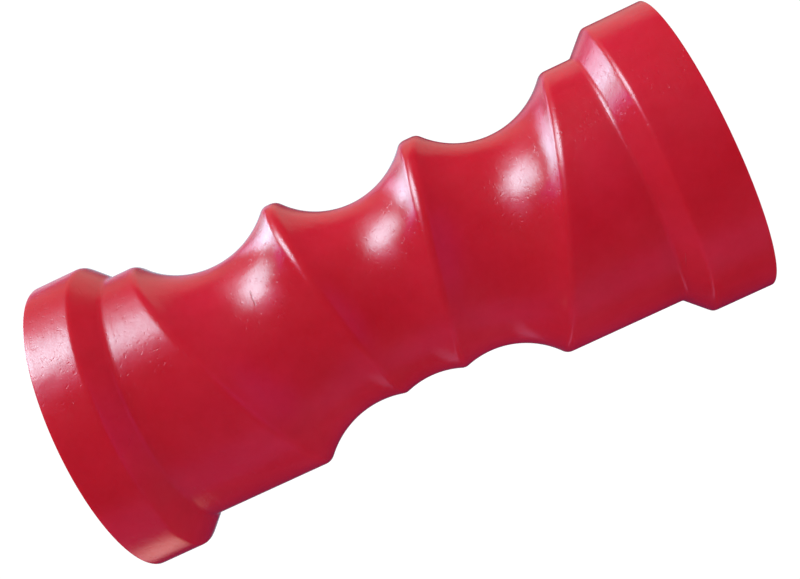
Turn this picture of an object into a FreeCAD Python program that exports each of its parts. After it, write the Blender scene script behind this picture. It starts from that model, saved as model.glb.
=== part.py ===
import FreeCAD, Part
import math
import os

# Boat trailer keel roller: one solid moulded body that turns on a plain spindle.
#
# Millimetres.  The roller stands on its wider-rimmed end: the origin is the centre of that end
# face and +Z runs along the roller's axis.  Between the two end flanges the body is a plain
# shoulder cylinder with three ring-shaped keel grooves.  The middle groove is square to the axis.
# The lower and upper ones lean in opposite senses, so the grooves stand well apart on the +X
# side, with two tall ridges between them, and close up on the -X side, where the ridges sink
# almost to the groove floors.  Where a ridge stands full height its top is a narrow land, just
# under the shoulder cylinder, that tapers out to a rounded crest on each side.

V = FreeCAD.Vector

# ---- driving dimensions -------------------------------------------------------------------
LENGTH = 200.0              # end face to end face

R_FLANGE = 46.1             # both end flanges
RIM_LOW = 18.5              # straight rim of the lower flange
RIM_TOP = 14.5              # straight rim of the upper flange
STEP = 6.6                  # axial run of each flange's sloped inner face
R_END_EDGE = 0.4            # broken outer edge of each end face
R_RIM_CORNER = 1.8          # rim to sloped face
R_STEP_FOOT = 0.6           # sloped face to shoulder

R_SHOULDER = 39.5           # plain shoulders beside the grooves
R_RIDGE_LAND = 38.9         # tops of the two ridges
Z_RIDGE_LAND = (66.0, 136.0)

# keel grooves, each a ring of circular section, as
# (height of its centre, lean of its axis in degrees, heading of the lean in degrees from +X,
#  ring radius, section radius, how far the ring is drawn in across its lean)
GROOVE_LOW = (69.4, 14.0, -7.2, 56.8, 25.8, 0.94)
GROOVE_MID = (102.1, 0.0, 0.0, 54.65, 26.0, 1.0)
GROOVE_TOP = (133.7, -14.65, 2.6, 59.1, 28.0, 0.95)

R_RIDGE = 3.2               # rounding along the two ridges
R_GROOVE_LIP = 3.4          # rounding where an outer groove runs out into its shoulder

R_BORE = 10.5               # plain through bore for a 20 mm spindle
BORE_MOUTH = 1.0            # chamfer at each mouth of the bore


# ---- the stepped blank --------------------------------------------------------------------
def revolve(points):
    """Closed solid of revolution about Z from (radius, height) points."""
    wire = Part.makePolygon([V(r, 0, z) for r, z in points + points[:1]])
    return Part.Face(wire).revolve(V(0, 0, 0), V(0, 0, 1), 360)


def blank():
    z0, z1 = Z_RIDGE_LAND
    return revolve([
        (0, 0),
        (R_FLANGE, 0),
        (R_FLANGE, RIM_LOW),
        (R_SHOULDER, RIM_LOW + STEP),
        (R_SHOULDER, z0),
        (R_RIDGE_LAND, z0),
        (R_RIDGE_LAND, z1),
        (R_SHOULDER, z1),
        (R_SHOULDER, LENGTH - RIM_TOP - STEP),
        (R_FLANGE, LENGTH - RIM_TOP),
        (R_FLANGE, LENGTH),
        (0, LENGTH),
    ])


# ---- the keel grooves ---------------------------------------------------------------------
def groove(spec):
    """Ring made about Z, drawn in along Y and then leaned, turned and lifted into place."""
    z, lean, heading, ring, section, draw = spec
    ring = Part.makeTorus(ring, section)
    if draw != 1.0:
        squeeze = FreeCAD.Matrix()
        squeeze.scale(1, draw, 1)
        ring = ring.transformGeometry(squeeze)
    ring.rotate(V(0, 0, 0), V(0, 1, 0), lean)
    ring.rotate(V(0, 0, 0), V(0, 0, 1), heading)
    ring.translate(V(0, 0, z))
    return ring


def groove_edges(shape):
    """Edges along the ridges, and edges where an outer groove meets its shoulder."""
    ridges, lips = [], []
    for edge in shape.Edges:
        if edge.BoundBox.ZMin < RIM_LOW + STEP + 3 or edge.BoundBox.ZMax > LENGTH - RIM_TOP - STEP - 3:
            continue
        surfaces = [f.Surface for f in shape.ancestorsOfType(edge, Part.Face)]
        if len(surfaces) < 2:
            continue
        radii = [s.Radius for s in surfaces if type(s).__name__ == "Cylinder"]
        if not radii:
            ridges.append(edge)
        elif len(radii) == 1:
            (lips if abs(radii[0] - R_SHOULDER) < 1e-4 else ridges).append(edge)
    return ridges, lips


def circles_at(shape, radius, height):
    """Full circular edges about Z with this radius at this height."""
    found = []
    for edge in shape.Edges:
        curve = edge.Curve
        if type(curve).__name__ != "Circle":
            continue
        c = curve.Center
        if (abs(curve.Radius - radius) < 1e-4 and abs(c.z - height) < 1e-4
                and math.hypot(c.x, c.y) < 1e-4 and abs(abs(curve.Axis.z) - 1) < 1e-6):
            found.append(edge)
    return found


def roller():
    body = blank()

    # flanges: sloped faces, rims and end edges
    feet = (circles_at(body, R_SHOULDER, RIM_LOW + STEP)
            + circles_at(body, R_SHOULDER, LENGTH - RIM_TOP - STEP))
    body = body.makeFillet(R_STEP_FOOT, feet)
    corners = (circles_at(body, R_FLANGE, RIM_LOW)
               + circles_at(body, R_FLANGE, LENGTH - RIM_TOP))
    body = body.makeFillet(R_RIM_CORNER, corners)
    ends = circles_at(body, R_FLANGE, 0) + circles_at(body, R_FLANGE, LENGTH)
    body = body.makeFillet(R_END_EDGE, ends)

    # through bore with chamfered mouths
    body = body.cut(Part.makeCylinder(R_BORE, LENGTH + 2, V(0, 0, -1)))
    mouths = circles_at(body, R_BORE, 0) + circles_at(body, R_BORE, LENGTH)
    body = body.makeChamfer(BORE_MOUTH, mouths)

    # keel grooves, then the ridges between them and the lips beside them
    for spec in (GROOVE_LOW, GROOVE_MID, GROOVE_TOP):
        before = body.Volume
        body = body.cut(groove(spec))
        assert before - body.Volume > 20000, "a groove was not cut"
    body = body.Solids[0]
    ridges, lips = groove_edges(body)
    body = body.makeFillet(R_GROOVE_LIP, lips)
    ridges = [e for e in groove_edges(body)[0] if any(abs(e.Length - r.Length) < 1e-6 for r in ridges)]
    body = body.makeFillet(R_RIDGE, ridges)
    return body.Solids[0]


def main():
    os.makedirs("parts", exist_ok=True)
    body = roller()
    box = body.BoundBox
    print("roller: faces %d, valid %s, closed %s, volume %.0f mm3" % (
        len(body.Faces), body.isValid(), body.isClosed(), body.Volume))
    print("box %.3f %.3f %.3f to %.3f %.3f %.3f" % (
        box.XMin, box.YMin, box.ZMin, box.XMax, box.YMax, box.ZMax))
    body.exportStep("parts/roller.step")


main()
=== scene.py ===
import math

import bpy
import numpy as np
from mathutils import Matrix, Vector


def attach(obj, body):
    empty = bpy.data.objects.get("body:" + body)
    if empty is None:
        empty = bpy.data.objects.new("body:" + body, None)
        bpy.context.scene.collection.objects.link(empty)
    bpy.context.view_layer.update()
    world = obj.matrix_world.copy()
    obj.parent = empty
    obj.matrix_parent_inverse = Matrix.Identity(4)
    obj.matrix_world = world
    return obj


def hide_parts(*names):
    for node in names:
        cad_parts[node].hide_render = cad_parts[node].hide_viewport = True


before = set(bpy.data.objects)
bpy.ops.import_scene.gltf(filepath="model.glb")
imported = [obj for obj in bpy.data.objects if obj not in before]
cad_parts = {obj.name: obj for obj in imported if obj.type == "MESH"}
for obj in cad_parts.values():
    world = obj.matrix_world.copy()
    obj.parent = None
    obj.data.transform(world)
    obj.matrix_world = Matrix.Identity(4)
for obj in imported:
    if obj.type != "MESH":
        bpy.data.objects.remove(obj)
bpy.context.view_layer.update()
MM = 0.001

# =============================================================================================
# Driving dimensions, the same as the CAD part's, in millimetres.  Row frame: +Z along the axis.
# =============================================================================================
LENGTH = 200.0
R_FLANGE = 46.1
RIM_LOW = 18.5
RIM_TOP = 14.5
STEP = 6.6
R_END_EDGE = 0.4
R_RIM_CORNER = 1.8
R_STEP_FOOT = 0.6
R_SHOULDER = 39.5
R_RIDGE_LAND = 38.9
GROOVE_LOW = (69.4, 14.0, -7.2, 56.8, 25.8, 0.94)
GROOVE_MID = (102.1, 0.0, 0.0, 54.65, 26.0, 1.0)
GROOVE_TOP = (133.7, -14.65, 2.6, 59.1, 28.0, 0.95)
R_RIDGE = 3.2
R_GROOVE_LIP = 3.4
R_BORE = 10.5
BORE_MOUTH = 1.0


# =============================================================================================
# Surface of the roller as radius over (height, angle)
# =============================================================================================
def groove_radius(z, th, spec):
    """Radius of the groove's near wall, measured square to Z.  Large where the groove misses."""
    z0, lean, heading, ring, section, draw = spec
    a, d = math.radians(lean), math.radians(heading)
    c, s = np.cos(th - d), np.sin(th - d)
    dz = z - z0

    def f(r):
        # the point in the ring's own frame: u along its axis, v along its lean, w across it
        u = r * c * math.sin(a) + dz * math.cos(a)
        v = r * c * math.cos(a) - dz * math.sin(a)
        w = r * s / draw
        rho = np.sqrt(v * v + w * w)
        g = ring - np.sqrt(np.maximum(section * section - u * u, 0.0))
        g = g + np.maximum(np.abs(u) - section * 0.999, 0.0) * 20.0
        return rho - g

    shape = np.broadcast(z, th).shape
    lo, hi = np.full(shape, 10.0), np.full(shape, 60.0)
    for _ in range(16):
        mid = 0.5 * (lo + hi)
        inside = f(mid) < 0.0
        lo = np.where(inside, mid, lo)
        hi = np.where(inside, hi, mid)
    fa, fb = f(lo), f(hi)
    q = -fa / np.where(np.abs(fb - fa) < 1e-9, 1e-9, fb - fa)
    return lo + np.clip(q, 0.0, 1.0) * (hi - lo)


def rolled(m, dz, radius, sign=1):
    """m with its outside corners (sign 1) or inside corners (sign -1) rounded by a ball."""
    m = m * sign
    n = int(math.floor(radius / dz))
    d = np.arange(-n, n + 1) * dz
    h = np.sqrt(np.maximum(radius * radius - d * d, 0.0))
    pad = np.pad(m, ((n, n), (0, 0)), mode="edge")
    low = np.full_like(m, 1e9)
    for i in range(2 * n + 1):
        low = np.minimum(low, pad[i:i + m.shape[0]] - h[i])
    pad = np.pad(low, ((n, n), (0, 0)), mode="edge")
    out = np.full_like(m, -1e9)
    for i in range(2 * n + 1):
        out = np.maximum(out, pad[i:i + m.shape[0]] + h[i])
    return out * sign


DZ = 0.1
N_TH = 240
ZS = np.arange(0.0, LENGTH + DZ / 2, DZ)
TH = np.linspace(0.0, 2 * math.pi, N_TH, endpoint=False)


def radius_field():
    z, th = np.meshgrid(ZS, TH, indexing="ij")
    inner = np.minimum(groove_radius(z, th, GROOVE_MID),
                       np.minimum(groove_radius(z, th, GROOVE_LOW), groove_radius(z, th, GROOVE_TOP)))
    ridges = rolled(np.minimum(inner, R_RIDGE_LAND), DZ, R_RIDGE)
    lips = rolled(np.minimum(inner, R_SHOULDER), DZ, R_GROOVE_LIP)
    z_low = GROOVE_LOW[0] - 33 * math.tan(math.radians(GROOVE_LOW[1])) * np.cos(th - math.radians(GROOVE_LOW[2]))
    z_top = GROOVE_TOP[0] - 33 * math.tan(math.radians(GROOVE_TOP[1])) * np.cos(th - math.radians(GROOVE_TOP[2]))
    m = np.where((z > z_low) & (z < z_top), ridges, lips)

    slope = (R_FLANGE - R_SHOULDER) / STEP
    low = np.minimum(R_FLANGE, R_FLANGE - (ZS - RIM_LOW) * slope)
    top = np.minimum(R_FLANGE, R_FLANGE - (LENGTH - RIM_TOP - ZS) * slope)
    f = np.maximum(np.maximum(low, top), R_SHOULDER)[:, None]
    f = rolled(rolled(f, DZ, R_RIM_CORNER), DZ, R_STEP_FOOT, -1)
    near_end = (ZS[:, None] < RIM_LOW + STEP + 4) | (ZS[:, None] > LENGTH - RIM_TOP - STEP - 4)
    m = np.where(near_end, np.minimum(f, np.where(m < R_SHOULDER - 1e-6, m, 1e9)), m)
    return m


FIELD = radius_field()


# =============================================================================================
# The mesh: one closed skin, side wall, end edges, end faces and bore
# =============================================================================================
def side_rows():
    """Heights of the side wall's rings, closer together where it bends."""
    bend = np.zeros(len(ZS))
    r2 = np.abs(np.gradient(np.gradient(FIELD, DZ, axis=0), DZ, axis=0)).max(axis=1)
    bend = np.minimum(np.sqrt(r2), 0.75)
    k = np.ones(21) / 21
    bend = np.convolve(np.pad(bend, 10, mode="edge"), k, mode="valid")
    density = 0.9 + 2.6 * bend
    grow = np.concatenate([[0.0], np.cumsum(0.5 * (density[1:] + density[:-1]) * DZ)])
    lo, hi = R_END_EDGE, LENGTH - R_END_EDGE
    g0, g1 = np.interp([lo, hi], ZS, grow)
    n = 330
    return np.interp(np.linspace(g0, g1, n), grow, ZS)


def build_mesh():
    rings = []                                   # each ring is (radius per column, height)
    one = np.ones(N_TH)
    # bore, from its lower mouth up
    rings += [(one * R_BORE, z) for z in np.linspace(BORE_MOUTH, LENGTH - BORE_MOUTH, 24)]
    rings += [(one * (R_BORE + BORE_MOUTH), LENGTH)]
    # upper end face, its edge, the side wall, the lower edge and face
    rings += [(one * r, LENGTH) for r in np.linspace(R_BORE + BORE_MOUTH, R_FLANGE - R_END_EDGE, 14)[1:]]
    rings += [(one * (R_FLANGE - R_END_EDGE + R_END_EDGE * math.sin(t)),
               LENGTH - R_END_EDGE + R_END_EDGE * math.cos(t)) for t in np.linspace(0, math.pi / 2, 8)[1:-1]]
    zs = side_rows()[::-1]
    idx = zs / DZ
    i0 = np.clip(np.floor(idx).astype(int), 0, len(ZS) - 2)
    w = (idx - i0)[:, None]
    side = FIELD[i0] * (1 - w) + FIELD[i0 + 1] * w
    rings += [(side[i], z) for i, z in enumerate(zs)]
    rings += [(one * (R_FLANGE - R_END_EDGE + R_END_EDGE * math.cos(t)),
               R_END_EDGE - R_END_EDGE * math.sin(t)) for t in np.linspace(0, math.pi / 2, 8)[1:-1]]
    rings += [(one * r, 0.0) for r in np.linspace(R_BORE + BORE_MOUTH, R_FLANGE - R_END_EDGE, 14)[::-1]]
    n = len(rings)
    c, s = np.cos(TH), np.sin(TH)
    co = np.zeros((n, N_TH, 3))
    for i, (r, z) in enumerate(rings):
        co[i, :, 0] = r * c
        co[i, :, 1] = r * s
        co[i, :, 2] = z
    faces = []
    for i in range(n):
        a, b = i * N_TH, ((i + 1) % n) * N_TH
        for j in range(N_TH):
            k = (j + 1) % N_TH
            faces.append((a + j, b + j, b + k, a + k))
    me = bpy.data.meshes.new("moulded_roller")
    me.from_pydata((co.reshape(-1, 3) * MM).tolist(), [], faces)
    me.validate()
    # outward faces
    vol = 0.0
    me.calc_loop_triangles()
    v = np.zeros(len(me.vertices) * 3)
    me.vertices.foreach_get("co", v)
    v = v.reshape(-1, 3)
    t = np.zeros(len(me.loop_triangles) * 3, dtype=np.int32)
    me.loop_triangles.foreach_get("vertices", t)
    t = t.reshape(-1, 3)
    vol = np.einsum("ij,ij->i", v[t[:, 0]], np.cross(v[t[:, 1]], v[t[:, 2]])).sum() / 6
    if vol < 0:
        me.flip_normals()
    me.update()
    for p in me.polygons:
        p.use_smooth = True
    me.set_sharp_from_angle(angle=math.radians(35))
    print("triangles", len(t), "volume mm3", abs(vol) * 1e9)
    ob = bpy.data.objects.new("moulded_roller", me)
    bpy.context.scene.collection.objects.link(ob)
    return ob


roller = build_mesh()


# =============================================================================================
# Material: red cast polyurethane
# =============================================================================================
def node(nt, kind, x=0, y=0, **values):
    nd = nt.nodes.new(kind)
    nd.location = (x, y)
    for key, val in values.items():
        setattr(nd, key, val)
    return nd


def noise(nt, vector, scale, detail=2.0, roughness=0.5):
    nd = node(nt, "ShaderNodeTexNoise")
    nd.inputs["Scale"].default_value = scale
    nd.inputs["Detail"].default_value = detail
    nd.inputs["Roughness"].default_value = roughness
    nt.links.new(vector, nd.inputs["Vector"])
    return nd.outputs["Fac"]


def math_node(nt, op, a, b=None, c=None):
    nd = nt.nodes.new("ShaderNodeMath")
    nd.operation = op
    for i, v in enumerate((a, b, c)):
        if v is None:
            continue
        if isinstance(v, (int, float)):
            nd.inputs[i].default_value = v
        else:
            nt.links.new(v, nd.inputs[i])
    return nd.outputs[0]


def dot_node(nt, vector, constant):
    nd = nt.nodes.new("ShaderNodeVectorMath")
    nd.operation = "DOT_PRODUCT"
    nt.links.new(vector, nd.inputs[0])
    nd.inputs[1].default_value = tuple(constant)
    return nd.outputs["Value"]


def scaled(nt, vector, factors, offset=(0, 0, 0)):
    nd = nt.nodes.new("ShaderNodeVectorMath")
    nd.operation = "MULTIPLY_ADD"
    nt.links.new(vector, nd.inputs[0])
    nd.inputs[1].default_value = factors
    nd.inputs[2].default_value = offset
    return nd.outputs["Vector"]


def remap(nt, value, lo, hi, to_lo=0.0, to_hi=1.0, kind="SMOOTHSTEP", clamp=True):
    nd = nt.nodes.new("ShaderNodeMapRange")
    nd.interpolation_type = kind
    nd.clamp = clamp
    nt.links.new(value, nd.inputs["Value"])
    nd.inputs["From Min"].default_value = lo
    nd.inputs["From Max"].default_value = hi
    nd.inputs["To Min"].default_value = to_lo
    nd.inputs["To Max"].default_value = to_hi
    return nd.outputs["Result"]


def near_line(nt, vector, points, width):
    """1 on the line through the points (millimetres), fading to 0 at the given distance."""
    best = None
    for p, q in zip(points[:-1], points[1:]):
        p, q = Vector(p) * MM, Vector(q) * MM
        run = q - p
        ap = scaled(nt, vector, (1, 1, 1), tuple(-p))
        t = math_node(nt, "DIVIDE", dot_node(nt, ap, run), run.length_squared)
        nt.nodes[-1].use_clamp = True
        back = nt.nodes.new("ShaderNodeVectorMath")
        back.operation = "SCALE"
        back.inputs[0].default_value = tuple(run)
        nt.links.new(t, back.inputs["Scale"])
        gap = nt.nodes.new("ShaderNodeVectorMath")
        gap.operation = "DISTANCE"
        nt.links.new(ap, gap.inputs[0])
        nt.links.new(back.outputs["Vector"], gap.inputs[1])
        d = gap.outputs["Value"]
        best = d if best is None else math_node(nt, "MINIMUM", best, d)
    return remap(nt, best, 0.0, width * MM, 1.0, 0.0)


def bump(nt, height, distance, normal=None):
    nd = node(nt, "ShaderNodeBump")
    nd.inputs["Strength"].default_value = 1.0
    nd.inputs["Distance"].default_value = distance
    nt.links.new(height, nd.inputs["Height"])
    if normal is not None:
        nt.links.new(normal, nd.inputs["Normal"])
    return nd.outputs["Normal"]


def on_wall(angle, z):
    """The point of the side wall at this angle (degrees) and height."""
    j = int(round(angle % 360 / 360 * N_TH)) % N_TH
    r, a = FIELD[int(round(z / DZ)), j], TH[j]
    return r * math.cos(a), r * math.sin(a), z


# two small moulding marks, each a short shallow crease, darkened along its line as painted shade (object millimetres)
MARK_GROOVE = [on_wall(a, z) for a, z in ((-61.5, 137.2), (-64.0, 137.0), (-66.5, 137.25), (-68.5, 136.9), (-70.5, 137.0))]
MARK_SHOULDER = ((-27.90, -31.53, 22.6), (-29.54, -29.29, 23.0), (-31.25, -26.69, 23.3))


def polyurethane():
    mat = bpy.data.materials.new("red_polyurethane")
    mat.use_nodes = True
    nt = mat.node_tree
    nt.nodes.clear()
    out = node(nt, "ShaderNodeOutputMaterial", 900)
    bsdf = node(nt, "ShaderNodeBsdfPrincipled", 600)
    nt.links.new(bsdf.outputs["BSDF"], out.inputs["Surface"])
    tex = node(nt, "ShaderNodeTexCoord", -1200)
    p = tex.outputs["Object"]

    # colour: slow cloudy change of depth in the cast resin, a cooler tint in places, fine mottle, and painted shade
    # along the two creases
    cloud = noise(nt, p, 24.0, 5.0, 0.6)
    ramp = node(nt, "ShaderNodeValToRGB", -600, 300)
    cr = ramp.color_ramp
    cr.elements[0].position = 0.22
    cr.elements[0].color = (0.600, 0.0070, 0.0160, 1)
    cr.elements[1].position = 0.78
    cr.elements[1].color = (0.735, 0.0170, 0.0420, 1)
    mid = cr.elements.new(0.50)
    mid.color = (0.668, 0.0118, 0.0280, 1)
    nt.links.new(cloud, ramp.inputs["Fac"])
    tint = node(nt, "ShaderNodeMix", data_type="RGBA", blend_type="MULTIPLY")
    nt.links.new(remap(nt, noise(nt, scaled(nt, p, (1, 1, 1), (0.31, 0.17, 0.05)), 11.0, 3.0, 0.5), 0.30, 0.70),
                 tint.inputs["Factor"])
    nt.links.new(ramp.outputs["Color"], tint.inputs["A"])
    tint.inputs["B"].default_value = (0.97, 1.08, 1.32, 1)
    mottle = node(nt, "ShaderNodeMix", data_type="RGBA", blend_type="MULTIPLY")
    nt.links.new(remap(nt, noise(nt, p, 210.0, 4.0, 0.65), 0.25, 0.75, kind="LINEAR"), mottle.inputs["Factor"])
    nt.links.new(tint.outputs["Result"], mottle.inputs["A"])
    mottle.inputs["B"].default_value = (0.93, 0.86, 0.86, 1)
    # painted shade: the base colour is mixed towards a dark red along the two creases; the same mask also roughens and
    # dents them
    painted_crease_shade = node(nt, "ShaderNodeMix", data_type="RGBA", blend_type="MIX")
    crease_and_painted_shade = math_node(nt, "MAXIMUM", near_line(nt, p, MARK_GROOVE, 0.42),
                       math_node(nt, "MULTIPLY", near_line(nt, p, MARK_SHOULDER, 0.32), 0.6))
    nt.links.new(math_node(nt, "MULTIPLY", crease_and_painted_shade, 0.3), painted_crease_shade.inputs["Factor"])
    nt.links.new(mottle.outputs["Result"], painted_crease_shade.inputs["A"])
    painted_crease_shade.inputs["B"].default_value = (0.30, 0.006, 0.014, 1)
    nt.links.new(painted_crease_shade.outputs["Result"], bsdf.inputs["Base Color"])

    # gloss that varies a little, in patches and in fine grain
    rough = math_node(nt, "MULTIPLY_ADD", noise(nt, p, 70.0, 4.0, 0.6), 0.16, 0.085)
    rough = math_node(nt, "MULTIPLY_ADD", noise(nt, p, 900.0, 2.0), 0.10, math_node(nt, "SUBTRACT", rough, 0.05))
    rough = math_node(nt, "MULTIPLY_ADD", crease_and_painted_shade, 0.20, rough)
    nt.links.new(rough, bsdf.inputs["Roughness"])

    # surface: waviness of the moulding, faint lines left by the mould's turning, grain, sparse
    # fine pits and the two creases
    slow = bump(nt, noise(nt, p, 95.0, 2.0), 0.00020)
    ripple = bump(nt, noise(nt, p, 330.0, 2.0), 0.000030, slow)
    turned = bump(nt, noise(nt, scaled(nt, p, (60.0, 60.0, 1300.0)), 1.0, 3.0), 0.000013, ripple)
    grain = bump(nt, noise(nt, p, 1500.0, 2.0), 0.000014, turned)
    pits = remap(nt, noise(nt, p, 800.0, 2.0), 0.60, 0.70)
    pitted = bump(nt, math_node(nt, "MULTIPLY", pits, -1.0), 0.000022, grain)
    creased = bump(nt, math_node(nt, "MULTIPLY", crease_and_painted_shade, -1.0), 0.000022, pitted)
    nt.links.new(creased, bsdf.inputs["Normal"])

    bsdf.inputs["IOR"].default_value = 1.5
    bsdf.inputs["Subsurface Weight"].default_value = 0.25
    bsdf.inputs["Subsurface Radius"].default_value = (1.0, 0.12, 0.10)
    bsdf.inputs["Subsurface Scale"].default_value = 0.003
    return mat


roller.data.materials.append(polyurethane())
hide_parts("roller")
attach(roller, "root")


# =============================================================================================
# Studio: white floor and surround for the camera, a soft dome of light for the body colour and
# a few soft boxes for the gloss
# =============================================================================================
def direction(az, el):
    a, e = math.radians(az), math.radians(el)
    return Vector((math.cos(e) * math.cos(a), math.cos(e) * math.sin(a), math.sin(e)))


def soft_box(nt, vector, az, el, half_w, half_h, turn, edge):
    """1 inside a soft-edged ellipse of directions, falling to 0 outside it."""
    c = direction(az, el)
    t1 = Vector((-math.sin(math.radians(az)), math.cos(math.radians(az)), 0))
    t2 = c.cross(t1)
    r = math.radians(turn)
    a1 = t1 * math.cos(r) + t2 * math.sin(r)
    a2 = t2 * math.cos(r) - t1 * math.sin(r)
    x = dot_node(nt, vector, a1 / math.sin(math.radians(half_w)))
    y = dot_node(nt, vector, a2 / math.sin(math.radians(half_h)))
    q = math_node(nt, "ADD", math_node(nt, "MULTIPLY", x, x), math_node(nt, "MULTIPLY", y, y))
    q = math_node(nt, "POWER", q, edge / 2)
    g = math_node(nt, "EXPONENT", math_node(nt, "MULTIPLY", q, -1.0))
    front = math_node(nt, "GREATER_THAN", dot_node(nt, vector, c), 0.0)
    return math_node(nt, "MULTIPLY", g, front)


# direction (azimuth, elevation), half width, half height, turn, edge, colour times strength
SOFT_BOXES = [
    (-24.1, 28.6, 22.1, 13.2, 43.2, 3.6, (6.40, 11.40, 13.00)),
    (-44.5, 25.9, 15.8, 15.5, -83.5, 3.2, (1.80, 1.17, 2.09)),
    (-16.8, 21.2, 20.4, 13.7, 5.8, 2.2, (3.40, 3.60, 4.50)),
    (-35.0, 24.0, 10.0, 8.0, 0.0, 3.0, (1.50, 2.20, 1.90)),
    (43.8, 45.6, 17.8, 12.9, -13.2, 2.9, (3.30, 5.90, 7.10)),
    (45.8, 24.6, 6.0, 3.4, -49.4, 4.9, (0.91, 0.61, 1.04)),
    (33.0, 38.0, 16.0, 6.0, -55.0, 4.0, (1.95, 2.18, 3.20)),
    (22.0, 50.0, 12.0, 6.0, -40.0, 4.0, (1.52, 3.53, 4.07)),
    (23.5, 42.0, 6.0, 5.0, 0.0, 3.0, (1.20, 2.80, 3.20)),
    (16.3, 57.6, 26.9, 4.0, -7.5, 3.4, (1.25, 0.41, 1.93)),
    (62.9, 19.2, 10.8, 19.7, -31.4, 5.0, (0.38, 0.22, 0.47)),
    (83.0, 12.0, 9.0, 11.5, -46.2, 2.2, (0.80, 1.50, 1.70)),
    (64.2, 27.6, 5.4, 22.1, -11.4, 1.8, (0.58, 0.65, 0.40)),
    (47.5, -17.2, 18.5, 51.0, 26.0, 5.0, (0.55, 0.45, 0.36)),
    (145.9, 21.9, 21.2, 4.3, 2.7, 5.8, (0.40, 0.25, 0.46)),
    (183.2, 13.2, 20.0, 53.9, 4.6, 3.8, (0.20, 0.07, 0.28)),
    (-115.6, -54.3, 33.9, 23.0, -18.4, 4.0, (0.21, 0.03, 0.35)),
    (-90.0, -57.0, 20.0, 10.0, 0.0, 2.5, (0.10, 0.05, 0.13)),
]


def gloss_world():
    """Light that only the gloss sees."""
    world = bpy.data.worlds.new("studio")
    world.use_nodes = True
    nt = world.node_tree
    nt.nodes.clear()
    out = nt.nodes.new("ShaderNodeOutputWorld")
    bg = nt.nodes.new("ShaderNodeBackground")
    tex = nt.nodes.new("ShaderNodeTexCoord")
    vec = tex.outputs["Generated"]
    total = None
    for az, el, w, h, turn, edge, colour in SOFT_BOXES:
        g = soft_box(nt, vec, az, el, w, h, turn, edge)
        sc = nt.nodes.new("ShaderNodeVectorMath")
        sc.operation = "SCALE"
        sc.inputs[0].default_value = colour
        nt.links.new(g, sc.inputs["Scale"])
        if total is None:
            total = sc.outputs["Vector"]
        else:
            ad = nt.nodes.new("ShaderNodeVectorMath")
            ad.operation = "ADD"
            nt.links.new(total, ad.inputs[0])
            nt.links.new(sc.outputs["Vector"], ad.inputs[1])
            total = ad.outputs["Vector"]
    ad = nt.nodes.new("ShaderNodeVectorMath")
    ad.operation = "ADD"
    nt.links.new(total, ad.inputs[0])
    ad.inputs[1].default_value = (0.0, 0.013, 0.072)
    nt.links.new(ad.outputs["Vector"], bg.inputs["Color"])
    nt.links.new(bg.outputs["Background"], out.inputs["Surface"])
    bpy.context.scene.world = world
    world.cycles_visibility.diffuse = False
    world.cycles_visibility.camera = False
    world.cycles_visibility.transmission = False
    world.cycles_visibility.scatter = False
    return world


gloss_world()


def emission(name, strength):
    mat = bpy.data.materials.new(name)
    mat.use_nodes = True
    nt = mat.node_tree
    nt.nodes.clear()
    out = node(nt, "ShaderNodeOutputMaterial", 300)
    em = node(nt, "ShaderNodeEmission", 0)
    em.inputs["Color"].default_value = (1, 1, 1, 1)
    em.inputs["Strength"].default_value = strength
    nt.links.new(em.outputs["Emission"], out.inputs["Surface"])
    mat.cycles.emission_sampling = "NONE"
    return mat, nt, em


def disc(name, radius, z, rings=12, sides=96):
    verts = [(0, 0, z)]
    faces = []
    for i in range(1, rings + 1):
        r = radius * i / rings
        for j in range(sides):
            a = 2 * math.pi * j / sides
            verts.append((r * math.cos(a), r * math.sin(a), z))
    for j in range(sides):
        faces.append((0, 1 + j, 1 + (j + 1) % sides))
    for i in range(1, rings):
        a, b = 1 + (i - 1) * sides, 1 + i * sides
        for j in range(sides):
            k = (j + 1) % sides
            faces.append((a + j, b + j, b + k, a + k))
    me = bpy.data.meshes.new(name)
    me.from_pydata(verts, [], faces)
    ob = bpy.data.objects.new(name, me)
    bpy.context.scene.collection.objects.link(ob)
    return ob


def dome(name, radius, rows=32, sides=64):
    verts, faces = [], []
    for i in range(rows + 1):
        lat = math.pi * (i / rows - 0.5)
        for j in range(sides):
            a = 2 * math.pi * j / sides
            verts.append((radius * math.cos(lat) * math.cos(a), radius * math.cos(lat) * math.sin(a), radius * math.sin(lat)))
    for i in range(rows):
        a, b = i * sides, (i + 1) * sides
        for j in range(sides):
            k = (j + 1) % sides
            faces.append((a + j, b + j, b + k, a + k))
    me = bpy.data.meshes.new(name)
    me.from_pydata(verts, [], faces)
    ob = bpy.data.objects.new(name, me)
    bpy.context.scene.collection.objects.link(ob)
    return ob


def sees(ob, camera=False, diffuse=False):
    ob.visible_camera = camera
    ob.visible_diffuse = diffuse
    ob.visible_glossy = False
    ob.visible_transmission = False
    ob.visible_volume_scatter = False
    ob.visible_shadow = False


floor = disc("floor", 6.0, -0.0002)
floor.data.materials.append(emission("floor_white", 1.05)[0])
surround = dome("surround", 12.0)
surround.data.materials.append(emission("surround_white", 1.05)[0])
sees(floor, camera=True)
sees(surround, camera=True)

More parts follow.
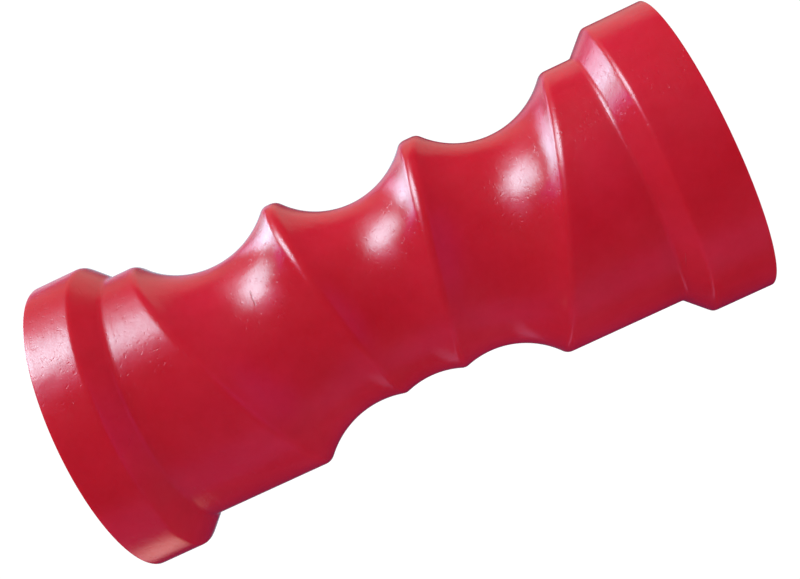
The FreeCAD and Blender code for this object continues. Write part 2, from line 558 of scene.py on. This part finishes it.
# body light, brighter from +X, with soft differences between the other sides: constant, x, y, z,
# xz, xy, yz, xx - yy and zz terms of the direction
BODY_LIGHT = (0.905, 0.35, 0.015, 0.151, 0.35, -0.35, -0.205, 0.35, -0.104)
light_dome = dome("light_dome", 10.0)
mat, nt, em = emission("dome_light", 1.0)
geo = nt.nodes.new("ShaderNodeTexCoord")
norm = nt.nodes.new("ShaderNodeVectorMath")
norm.operation = "NORMALIZE"
nt.links.new(geo.outputs["Object"], norm.inputs[0])
d = norm.outputs["Vector"]
sep = nt.nodes.new("ShaderNodeSeparateXYZ")
nt.links.new(d, sep.inputs[0])
X, Y, Z = sep.outputs
total = math_node(nt, "ADD", dot_node(nt, d, BODY_LIGHT[1:4]), BODY_LIGHT[0])
for a, b, k in ((X, Z, BODY_LIGHT[4]), (X, Y, BODY_LIGHT[5]), (Y, Z, BODY_LIGHT[6]),
                (X, X, BODY_LIGHT[7]), (Y, Y, -BODY_LIGHT[7]), (Z, Z, BODY_LIGHT[8])):
    total = math_node(nt, "MULTIPLY_ADD", math_node(nt, "MULTIPLY", a, b), k, total)
nt.links.new(math_node(nt, "MAXIMUM", total, 0.15), em.inputs["Strength"])
light_dome.data.materials.append(mat)
sees(light_dome, diffuse=True)


def bounce_card(name, at, towards, radius, colour):
    """Small faint card that only the gloss sees, bright in the middle and clear at its edge."""
    ob = disc(name, radius * MM, 0.0, 6, 48)
    at, towards = Vector(at) * MM, Vector(towards) * MM
    ob.matrix_world = Matrix.Translation(at) @ (towards - at).to_track_quat("Z", "Y").to_matrix().to_4x4()
    card, cnt, cem = emission(name + "_light", 1.0)
    where = cnt.nodes.new("ShaderNodeTexCoord").outputs["Object"]
    away = cnt.nodes.new("ShaderNodeVectorMath")
    away.operation = "LENGTH"
    cnt.links.new(where, away.inputs[0])
    cem.inputs["Color"].default_value = (*colour, 1)
    cnt.links.new(remap(cnt, away.outputs["Value"], 0.15 * radius * MM, radius * MM, 1.0, 0.0), cem.inputs["Strength"])
    clear = cnt.nodes.new("ShaderNodeBsdfTransparent")
    both = cnt.nodes.new("ShaderNodeAddShader")
    cnt.links.new(cem.outputs["Emission"], both.inputs[0])
    cnt.links.new(clear.outputs["BSDF"], both.inputs[1])
    cnt.links.new(both.outputs["Shader"], [n for n in cnt.nodes if n.type == "OUTPUT_MATERIAL"][0].inputs["Surface"])
    ob.data.materials.append(card)
    sees(ob)
    ob.visible_glossy = True
    return ob


tip_card = bounce_card("tip_card", (-74.5, 6.0, 206.0), (-41.6, -20.0, 194.0), 22.0, (1.7, 1.0, 0.75))


# =============================================================================================
# Camera at the photograph's viewing angle, and colour management
# =============================================================================================
RIGHT = Vector((-0.414873, 0.112009, -0.902960))
UP = Vector((0.903662, -0.065111, -0.423274))
FORWARD = Vector((0.106202, 0.991573, 0.074211))
cam = bpy.data.cameras.new("camera")
cam.sensor_fit = "HORIZONTAL"
cam.sensor_width = 36.0
cam.lens = 1324.945 / 800 * 36.0
cam.shift_x = 0.00618
cam.shift_y = -0.03347
cam.clip_start = 0.01
cam.clip_end = 100.0
cam_ob = bpy.data.objects.new("camera", cam)
m = Matrix((
    (RIGHT.x, UP.x, -FORWARD.x, -35.712 * MM),
    (RIGHT.y, UP.y, -FORWARD.y, -397.220 * MM),
    (RIGHT.z, UP.z, -FORWARD.z, 68.187 * MM),
    (0, 0, 0, 1)))
cam_ob.matrix_world = m
bpy.context.scene.collection.objects.link(cam_ob)
bpy.context.scene.camera = cam_ob
bpy.context.scene.view_settings.view_transform = "Standard"
bpy.context.scene.view_settings.look = "None"
